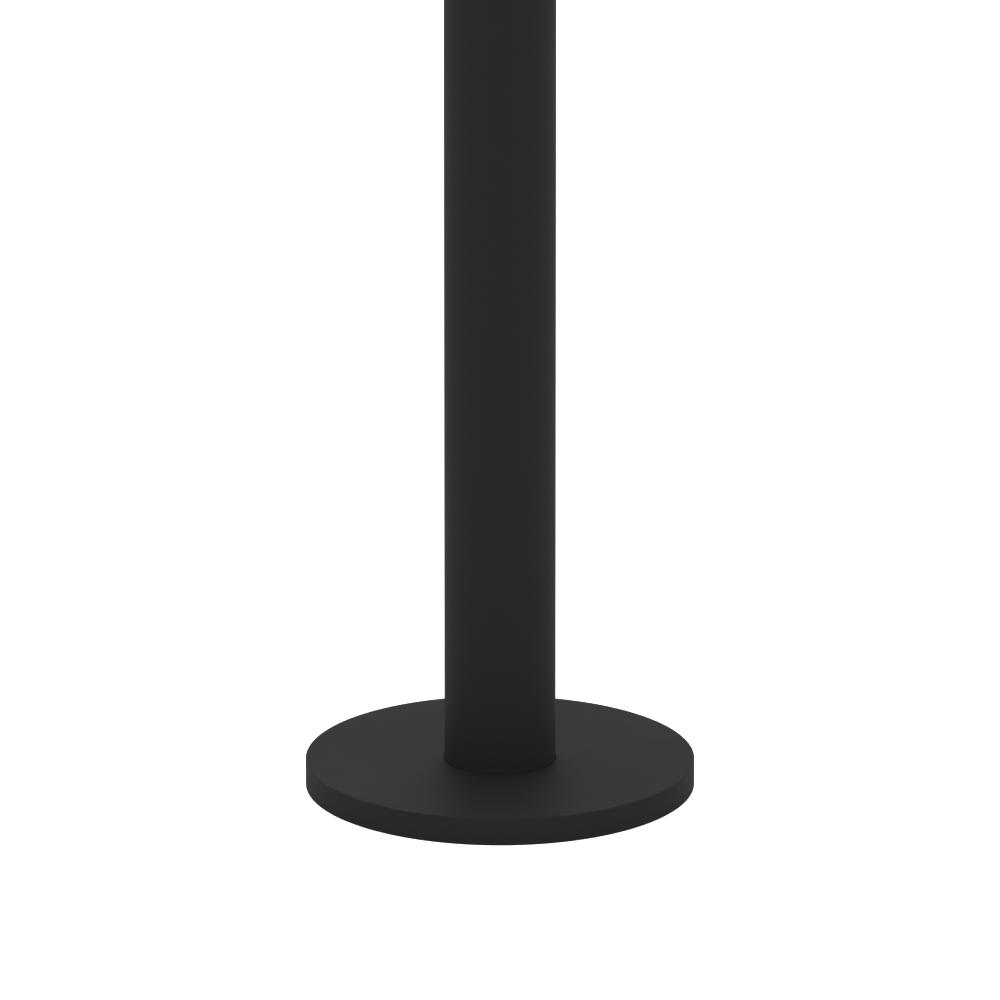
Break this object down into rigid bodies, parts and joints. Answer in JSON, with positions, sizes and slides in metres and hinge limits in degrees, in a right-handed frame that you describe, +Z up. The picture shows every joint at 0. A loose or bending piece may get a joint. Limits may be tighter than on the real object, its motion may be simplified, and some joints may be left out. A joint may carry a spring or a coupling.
{
  "type": "street clock",
  "caption": "Post-mounted double-sided street clock: round drum head with lit dials on a plain black tube post with a flat round base cover.",
  "frame": {"origin": "centre of the anchor bolt circle on the underside of the flange, at ground level", "axes": "+Z up the post, -Y out of the front dial, +X to the right of someone facing the front dial"},
  "size_m": [0.8, 0.42, 3.48],
  "materials": {
    "post_paint": "matt fine-texture black powder coat on galvanised steel",
    "case_paint": "matt fine-texture black powder coat on aluminium",
    "seal_rubber": "black EPDM rubber",
    "cable_sheath": "black cable sheath",
    "steel": "stainless steel",
    "zinc_plate": "bright zinc plate",
    "aluminium_box": "satin anodised",
    "grey_plastic": "moulded grey plastic",
    "motor_shell": "grey painted can",
    "brass": "machined brass",
    "tray_white": "white reflective paint",
    "led_board": "green circuit board",
    "opal_acrylic": "opal white, satin",
    "dial_black": "black print",
    "hand_black": "satin black lacquer",
    "clear_glass": "clear toughened glass"
  },
  "bodies": {
    "post": {"anchor_flange": "post_paint", "post_tube": "post_paint", "door_frame": "post_paint", "door_gasket": "seal_rubber", "door_hinge_leaves": "post_paint", "hinge_pins": "steel", "equipment_rail": "zinc_plate", "fused_cutout": "grey_plastic", "cutout_lid": "grey_plastic", "earth_stud": "brass", "supply_cable": "cable_sheath", "neck_spigot": "post_paint", "spigot_screws": "steel", "case_ring": "case_paint", "clamp_plate": "zinc_plate", "saddle_bolts": "zinc_plate", "backbone": "zinc_plate", "power_supply": "aluminium_box", "clock_controller": "grey_plastic", "drain_vents": "seal_rubber", "tray_brackets": "zinc_plate", "light_trays": "tray_white", "led_boards": "led_board", "dial_pillars": "zinc_plate", "front_dial": "opal_acrylic", "rear_dial": "opal_acrylic", "dial_markers": "dial_black", "bezel_seals": "seal_rubber", "front_movement_frame": "brass", "rear_movement_frame": "brass", "front_motor": "motor_shell", "rear_motor": "motor_shell"},
    "base_cover": {"base_cover": "post_paint", "cover_seal": "seal_rubber"},
    "service_door": {"service_door": "post_paint", "door_lock_barrel": "zinc_plate"},
    "door_lock": {"door_lock_cam": "steel"},
    "front_bezel": {"front_bezel": "case_paint", "front_glass": "clear_glass", "front_glass_gasket": "seal_rubber", "front_glass_clips": "zinc_plate"},
    "front_lock": {"front_lock_cam": "zinc_plate"},
    "front_minute": {"front_minute_arbor": "brass", "front_minute_hand": "hand_black"},
    "front_hour": {"front_hour_wheel": "brass", "front_hour_hand": "hand_black"},
    "front_reduction": {"front_reduction_wheel": "brass"},
    "front_motor": {"front_motor_pinion": "brass"},
    "rear_bezel": {"rear_bezel": "case_paint", "rear_glass": "clear_glass", "rear_glass_gasket": "seal_rubber", "rear_glass_clips": "zinc_plate"},
    "rear_lock": {"rear_lock_cam": "zinc_plate"},
    "rear_minute": {"rear_minute_arbor": "brass", "rear_minute_hand": "hand_black"},
    "rear_hour": {"rear_hour_wheel": "brass", "rear_hour_hand": "hand_black"},
    "rear_reduction": {"rear_reduction_wheel": "brass"},
    "rear_motor": {"rear_motor_pinion": "brass"}
  },
  "joints": [
    {"name": "cover_slide", "type": "slide", "parent": "post", "child": "base_cover", "axis": [0, 0, 1], "range_m": [0, 0.3]},
    {"name": "door_hinge", "type": "hinge", "parent": "post", "child": "service_door", "pos_m": [0.03908, 0.05093, 0.65], "axis": [0, 0, -1], "range_deg": [0, 110]},
    {"name": "door_lock_turn", "type": "hinge", "parent": "service_door", "child": "door_lock", "pos_m": [-0.02344, 0.05523, 0.65], "axis": [-0.3907, 0.9205, 0], "range_deg": [0, 90]},
    {"name": "front_bezel_hinge", "type": "hinge", "parent": "post", "child": "front_bezel", "pos_m": [-0.389, -0.08475, 3.1], "axis": [0, 0, -1], "range_deg": [0, 110]},
    {"name": "front_lock_turn", "type": "hinge", "parent": "front_bezel", "child": "front_lock", "pos_m": [0.39, -0.09, 3.1], "axis": [0, 1, 0], "range_deg": [0, 90]},
    {"name": "front_minute_turn", "type": "hinge", "parent": "post", "child": "front_minute", "pos_m": [0, -0.055, 3.1], "axis": [0, 1, 0], "continuous": true},
    {"name": "front_hour_turn", "type": "hinge", "parent": "post", "child": "front_hour", "pos_m": [0, -0.055, 3.1], "axis": [0, 1, 0], "continuous": true},
    {"name": "front_reduction_turn", "type": "hinge", "parent": "post", "child": "front_reduction", "pos_m": [0.03, -0.055, 3.1], "axis": [0, 1, 0], "continuous": true},
    {"name": "front_motor_turn", "type": "hinge", "parent": "post", "child": "front_motor", "pos_m": [-0.042, -0.055, 3.1], "axis": [0, 1, 0], "continuous": true},
    {"name": "rear_bezel_hinge", "type": "hinge", "parent": "post", "child": "rear_bezel", "pos_m": [0.389, 0.08475, 3.1], "axis": [0, 0, -1], "range_deg": [0, 110]},
    {"name": "rear_lock_turn", "type": "hinge", "parent": "rear_bezel", "child": "rear_lock", "pos_m": [-0.39, 0.09, 3.1], "axis": [0, -1, 0], "range_deg": [0, 90]},
    {"name": "rear_minute_turn", "type": "hinge", "parent": "post", "child": "rear_minute", "pos_m": [0, 0.055, 3.1], "axis": [0, -1, 0], "continuous": true},
    {"name": "rear_hour_turn", "type": "hinge", "parent": "post", "child": "rear_hour", "pos_m": [0, 0.055, 3.1], "axis": [0, -1, 0], "continuous": true},
    {"name": "rear_reduction_turn", "type": "hinge", "parent": "post", "child": "rear_reduction", "pos_m": [-0.03, 0.055, 3.1], "axis": [0, -1, 0], "continuous": true},
    {"name": "rear_motor_turn", "type": "hinge", "parent": "post", "child": "rear_motor", "pos_m": [0.042, 0.055, 3.1], "axis": [0, -1, 0], "continuous": true}
  ],
  "couplings": [
    {"joint": "front_hour_turn", "follows": "front_minute_turn", "ratio": 0.083333},
    {"joint": "front_reduction_turn", "follows": "front_minute_turn", "ratio": -0.33333},
    {"joint": "front_motor_turn", "follows": "front_minute_turn", "ratio": -6},
    {"joint": "rear_minute_turn", "follows": "front_minute_turn", "ratio": 1},
    {"joint": "rear_hour_turn", "follows": "front_minute_turn", "ratio": 0.083333},
    {"joint": "rear_reduction_turn", "follows": "front_minute_turn", "ratio": -0.33333},
    {"joint": "rear_motor_turn", "follows": "front_minute_turn", "ratio": -6}
  ]
}
